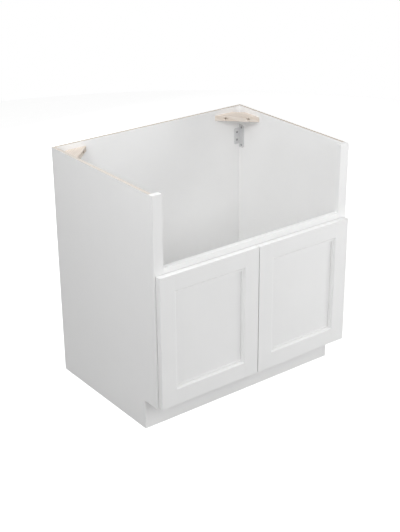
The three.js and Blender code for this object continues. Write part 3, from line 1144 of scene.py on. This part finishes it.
@dataclass
class RecessedDoor:
    """A door of two stiles, two coped rails and a flat panel held in their grooves."""

    finishes: Finishes
    side: Side
    face_width: float = 0.0587
    bevel_width: float = 0.0055
    bevel_depth: float = 0.0055
    ledge_width: float = 0.0078
    recess: float = 0.009
    panel_thickness: float = 0.00635
    groove: float = 0.0095
    thickness: float = 0.0207
    fit_gap: float = 0.0003
    coping_growth: float = 0.6  # how far the coping tool stands proud, of the fit gap
    shoulder_gap: float = 0.5  # what a rail's end keeps clear of the stile's face, of the fit gap
    overrun: float = 0.01
    outer_edge: float = 0.0014
    inner_edge: float = 0.0004
    end_edge: float = 0.0009
    end_angle: float = 60.0
    hard_angle: float = 50.0
    cup_radius: float = 0.0175
    cup_depth: float = 0.0125
    cup_inset: float = 0.0225
    cup_tool: float = 0.02
    cup_steps: int = 48
    hinge_from_end: float = 0.089
    bumper_radius: float = 0.004
    bumper_dome: Dome = Dome(crown=0.82, wall=0.45, easing=0.06, foot=0.97, steps=6)
    bumper_angle: float = 35.0

    def __post_init__(self) -> None:
        """Reads the door's box from its CAD stiles."""
        free_low, free_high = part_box(f"{self.side.word}_door_free_stile")
        hinge_low, hinge_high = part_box(f"{self.side.word}_door_hinge_stile")
        self.low = Vector([min(a, b) for a, b in zip(free_low, hinge_low)])
        self.high = Vector([max(a, b) for a, b in zip(free_high, hinge_high)])
        self.name = f"{self.side.word}_door"

    def build(self) -> None:
        """Makes every piece of the door."""
        self.stile("hinge_stile", self.side, self.hinge_bores())
        self.stile("free_stile", self.side.other, [])
        self.rail("bottom_rail", Place.LOWER)
        self.rail("top_rail", Place.UPPER)
        self.panel()
        for place in Place:
            self.bumper(place)

    def section(self, eased: bool, grown: float = 0.0) -> list[Corner]:
        """The section of a stile or rail: in from the door's edge, and back from its front.

        Args:
            eased: Rounds the corners that show.
            grown: How far a coping tool stands proud of the section.

        Returns:
            The section's corners with their radii.
        """
        outer = self.outer_edge if eased else 0.0
        inner = self.inner_edge if eased else 0.0
        width = self.face_width + self.bevel_width + self.ledge_width
        front = self.recess - self.fit_gap
        rear = self.recess + self.panel_thickness + self.fit_gap
        floor = width - self.groove
        return [
            (-grown, -grown, outer),
            (self.face_width + grown, -grown, inner),
            (self.face_width + self.bevel_width + grown, self.bevel_depth - grown, inner),
            (width + grown, self.bevel_depth - grown, inner),
            (width + grown, front + grown, 0.0),
            (floor + grown, front + grown, 0.0),
            (floor + grown, rear - grown, 0.0),
            (width + grown, rear - grown, 0.0),
            (width + grown, self.thickness + grown, inner),
            (-grown, self.thickness + grown, inner),
        ]

    def stile_solid(self, stands: Side, bottom: float, top: float, tool: bool = False) -> Solid:
        """A stile's solid, or the tool that copes a rail to it.

        Args:
            stands: The side of the door where it stands.
            bottom: Its lower end.
            top: Its upper end.
            tool: Grows it into a coping tool with sharp corners.

        Returns:
            The solid.
        """
        grown = self.fit_gap * self.coping_growth if tool else 0.0
        edge = stands.edge(self.low, self.high)
        section = [
            (edge - stands.value * across, self.low.y + depth)
            for across, depth in rounded(self.section(not tool, grown))
        ]
        return prism(section, Along.Z, bottom, top)

    def hinge_bores(self) -> list[Solid]:
        """The tools for the two cup bores in the hinge stile's back.

        Returns:
            The tools.
        """
        across = self.side.edge(self.low, self.high) - self.side.value * self.cup_inset
        bottom = self.high.y - self.cup_depth
        return [
            bore(
                self.cup_radius,
                self.cup_tool,
                Vector((across, bottom, height)),
                Along.Y.vector,
                self.cup_steps,
            )
            for height in (self.low.z + self.hinge_from_end, self.high.z - self.hinge_from_end)
        ]

    def stile(self, part: str, stands: Side, bores: list[Solid]) -> None:
        """Makes a stile.

        Args:
            part: The node's name within the door.
            stands: The side of the door where it stands.
            bores: Tools to cut out of it.
        """
        solid = self.stile_solid(stands, self.low.z, self.high.z)
        piece = Workpiece(f"{self.name}_{part}_wood", solid)
        piece.ease(self.end_edge, angle=self.end_angle).cut(*bores).smooth(self.hard_angle)
        piece.lay_grain(Along.Z.vector, Along.Y.vector).coat(self.finishes.paint)
        piece.fit(self.name, Slot.WHITE_PAINT, f"{self.name}_{part}")

    def rail(self, part: str, place: Place) -> None:
        """Makes a rail whose ends are coped to the stiles.

        Args:
            part: The node's name within the door.
            place: Whether it lies at the door's top or bottom.
        """
        at_bottom = place is Place.LOWER
        edge, inward = (self.low.z, 1.0) if at_bottom else (self.high.z, -1.0)
        section = [
            (self.low.y + depth, edge + inward * across)
            for across, depth in rounded(self.section(True))
        ]
        inset = self.face_width + self.fit_gap * self.shoulder_gap
        start, end = self.low.x + inset, self.high.x - inset
        bottom, top = self.low.z - self.overrun, self.high.z + self.overrun
        piece = Workpiece(f"{self.name}_{part}_wood", prism(section, Along.X, start, end))
        piece.cut(*(self.stile_solid(stands, bottom, top, tool=True) for stands in Side))
        piece.smooth(self.hard_angle)
        piece.lay_grain(Along.X.vector, Along.Y.vector).coat(self.finishes.paint)
        piece.fit(self.name, Slot.WHITE_PAINT, f"{self.name}_{part}")

    def panel(self) -> None:
        """Makes the flat panel in the grooves."""
        node = f"{self.name}_panel"
        low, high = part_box(node)
        piece = Workpiece(f"{node}_sheet", board(low, high)).ease(self.inner_edge).smooth()
        piece.lay_grain(Along.Z.vector, Along.Y.vector).coat(self.finishes.paint)
        piece.fit(self.name, Slot.WHITE_PAINT, node)

    def bumper(self, place: Place) -> None:
        """Makes a domed bumper on the door's back.

        Args:
            place: Which of the two.
        """
        node = f"{self.name}_{place.value}_bumper"
        low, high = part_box(node)
        profile = self.bumper_dome.profile(self.bumper_radius, high.y - low.y)
        foot = Vector(((low.x + high.x) / 2, low.y, (low.z + high.z) / 2))
        solid = turned([(0.0, 0.0), *profile], foot, Along.Y.vector)
        piece = Workpiece(f"{node}_dome", solid).smooth(self.bumper_angle)
        piece.lay_grain(Along.Z.vector, Along.Y.vector).coat(self.finishes.rubber)
        piece.fit(self.name, Slot.CLEAR_RUBBER, node)


@dataclass
class ConcealedHinge:
    """A cup hinge: an arm on the frame, a bowed link, a cup in the door and two pins."""

    finishes: Finishes
    side: Side
    place: Place
    stamping_edge: float = 0.00022
    turned_edge: float = 0.00015
    edge_angle: float = 50.0
    hard_angle: float = 40.0
    plate: float = 0.0015
    arm_screw_inset: float = 0.0085
    arm_screw_spacing: float = 0.034
    arm_screw: PanScrew = PanScrew(head_radius=0.0031, head_height=0.0012)
    ear_screw_inset: float = 0.0055
    ear_screw_spacing: float = 0.045
    ear_screw: PanScrew = PanScrew(head_radius=0.0031, head_height=0.0007)

    def build(self) -> None:
        """Makes the hinge's parts and the heads of its fixing screws."""
        name = f"{self.side.word}_{self.place.value}_hinge"
        links, door = f"{self.side.word}_hinge_links", f"{self.side.word}_door"
        self.part(f"{name}_arm", "carcass", self.stamping_edge)
        self.part(f"{name}_link", links, self.stamping_edge)
        self.part(f"{name}_cup", door, self.turned_edge)
        self.part(f"{name}_frame_pin", "carcass", self.turned_edge)
        self.part(f"{name}_door_pin", door, self.turned_edge)
        self.arm_screws(f"{name}_arm")
        self.ear_screws(f"{name}_cup", door)

    def part(self, node: str, body: str, edge: float) -> None:
        """Makes one stamped, drawn or turned part.

        Args:
            node: The CAD node that it stands for.
            body: The body that it moves with.
            edge: How far its edges are eased.
        """
        piece = Workpiece.traced(f"{node}_steel", node)
        piece.ease(edge, segments=2, angle=self.edge_angle).smooth(self.hard_angle)
        piece.lay_grain(Along.Z.vector, Along.Y.vector).coat(self.finishes.plated)
        piece.fit(body, Slot.PLATED_STEEL, node)

    def arm_screws(self, node: str) -> None:
        """Makes the two screw heads on the arm's plate, which lies on the stile's inner edge.

        Args:
            node: The arm's CAD node.
        """
        low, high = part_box(node)
        opening = self.side.other.edge(*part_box(f"frame_stile_{self.side.word}"))
        middle = Vector(
            (
                opening - self.side.value * self.plate,
                high.y - self.arm_screw_inset,
                (low.z + high.z) / 2,
            )
        )
        out = Vector((-self.side.value, 0, 0))
        self.pair(node, "carcass", self.arm_screw, self.arm_screw_spacing, middle, out)

    def ear_screws(self, node: str, body: str) -> None:
        """Makes the two screw heads on the ears of the cup's flange.

        Args:
            node: The cup's CAD node.
            body: The door that it moves with.
        """
        low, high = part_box(node)
        inner = self.side.other.edge(low, high)
        middle = Vector(
            (inner + self.side.value * self.ear_screw_inset, high.y, (low.z + high.z) / 2)
        )
        spacing = self.ear_screw_spacing
        self.pair(node, body, self.ear_screw, spacing, middle, Along.Y.vector)

    def pair(
        self,
        node: str,
        body: str,
        screw: PanScrew,
        spacing: float,
        middle: Vector,
        out: Vector,
    ) -> None:
        """Makes two screw heads, one above the other.

        Args:
            node: The CAD node that they hold.
            body: The body that they move with.
            screw: Their sizes.
            spacing: How far apart they are.
            middle: The point midway between their seats.
            out: The direction that they face.
        """
        for number, end in enumerate((1, -1), 1):
            seat = middle + Along.Z.vector * (end * spacing / 2)
            piece = screw.make(f"{node}_screw_{number}", seat, out)
            piece.lay_grain(out, Along.Z.vector).coat(self.finishes.plated)
            piece.fit(body, Slot.PLATED_STEEL)


# ---------------------------------------------------------------- studio


@dataclass(frozen=True)
class Lamp:
    """A square soft lamp: its place, the length of its sides and its power in watts."""

    name: str
    place: Spot
    size: float
    power: float


@dataclass
class Studio:
    """The pale floor, the soft light and the camera."""

    azimuth: float = -38.16
    elevation: float = 24.516
    stand: Spot = (-2.2829, -3.0074, 2.1407)
    lens: float = 77.42
    sensor: float = 36.0
    shift: Point = (-0.03953, -0.00008)
    sky: float = 0.06
    floor_colour: Colour = (0.32, 0.32, 0.32)
    floor_shown: Colour = (0.9, 0.9, 0.9)
    floor_glow: float = 0.84
    floor_reach: float = 3.8
    floor_steps: int = 96
    aim: Spot = (0.0, 0.0, 0.45)
    lamps: tuple[Lamp, ...] = (
        Lamp("overhead", (0.0, 0.1, 2.3), 1.4, 12.7),
        Lamp("high_left", (-1.7, -0.3, 2.4), 1.0, 24.6),
        Lamp("left", (-3.2, -1.2, 1.2), 1.6, 21.0),
        Lamp("front_left", (-0.8, -3.4, 2.2), 1.6, 28.0),
        Lamp("front_right", (0.4, -3.4, 2.2), 1.6, 22.3),
        Lamp("low_front", (1.6, -2.8, 0.3), 0.8, 13.6),
        Lamp("low_right", (2.6, -1.2, 0.3), 0.8, 29.5),
        Lamp("behind", (0.0, 3.0, 0.75), 1.2, 42.0),
    )

    def camera(self) -> None:
        """Sets the camera at the photograph's viewpoint."""
        data = bpy.data.cameras.new("camera")
        data.lens = self.lens
        data.sensor_width = self.sensor
        data.shift_x, data.shift_y = self.shift
        camera = bpy.data.objects.new("camera", data)
        camera.location = self.stand
        camera.rotation_euler = (math.radians(90 - self.elevation), 0, math.radians(self.azimuth))
        bpy.context.scene.collection.objects.link(camera)
        bpy.context.scene.camera = camera

    def hang(self, lamp: Lamp) -> None:
        """Hangs a lamp so that it faces the cabinet's middle.

        Args:
            lamp: The lamp.
        """
        data = bpy.data.lights.new(lamp.name, "AREA")
        data.shape = "SQUARE"
        data.size = lamp.size
        data.energy = lamp.power
        hung = bpy.data.objects.new(lamp.name, data)
        hung.location = lamp.place
        aim = Vector(self.aim) - Vector(lamp.place)
        hung.rotation_euler = aim.to_track_quat("-Z", "Y").to_euler()
        bpy.context.scene.collection.objects.link(hung)

    def sky_light(self) -> None:
        """Sets a plain white world that also lights the cabinet softly."""
        world = bpy.data.worlds.new("studio")
        world.use_nodes = True
        tree = NodeTree(world.node_tree)
        lit = tree.tree.nodes["Background"]
        tree.feed(lit.inputs["Color"], WHITE)
        tree.feed(lit.inputs["Strength"], self.sky)
        white = tree.node("Background", Color=WHITE, Strength=1.0)
        light = tree.either(tree.shown(), lit, white)
        tree.feed(tree.tree.nodes["World Output"].inputs["Surface"], light)
        bpy.context.scene.world = world

    def floor(self) -> None:
        """Lays a pale floor that renders white where no shadow falls."""
        shader = Shader("pale_floor")
        shader.tree.nodes.remove(shader.surface)
        matt = shader.node("BsdfDiffuse", Color=(*self.floor_colour, 1.0))
        pale = shader.node("BsdfDiffuse", Color=(*self.floor_shown, 1.0))
        glow = shader.node("Emission", Color=WHITE, Strength=self.floor_glow)
        lit = shader.node("AddShader")
        shader.feed(lit.inputs[0], pale.outputs[0])
        shader.feed(lit.inputs[1], glow.outputs[0])
        look = shader.either(shader.shown(), matt, lit)
        shader.feed(shader.output.inputs["Surface"], look)
        sheet = bmesh.new()
        reach, steps = self.floor_reach, self.floor_steps
        bmesh.ops.create_circle(sheet, cap_ends=True, radius=reach, segments=steps)
        floor = Workpiece("studio_floor", sheet).body
        floor.data.materials.append(shader.material)

    def build(self) -> None:
        """Sets up the whole studio."""
        bpy.context.scene.view_settings.view_transform = "Standard"
        self.camera()
        self.sky_light()
        for lamp in self.lamps:
            self.hang(lamp)
        self.floor()


# ---------------------------------------------------------------- assembly


def main() -> None:
    """Builds the studio, the carcass, the doors and the hinges in order."""
    logging.basicConfig(level=logging.INFO, format="%(name)s: %(message)s")
    Studio().build()
    finishes = Finishes()
    SheetPanels(finishes).build()
    FaceFrame(finishes).build()
    CornerFixings(finishes).build()
    for side in Side:
        RecessedDoor(finishes, side).build()
        for place in Place:
            ConcealedHinge(finishes, side, place).build()


if __name__ == "__main__":
    main()
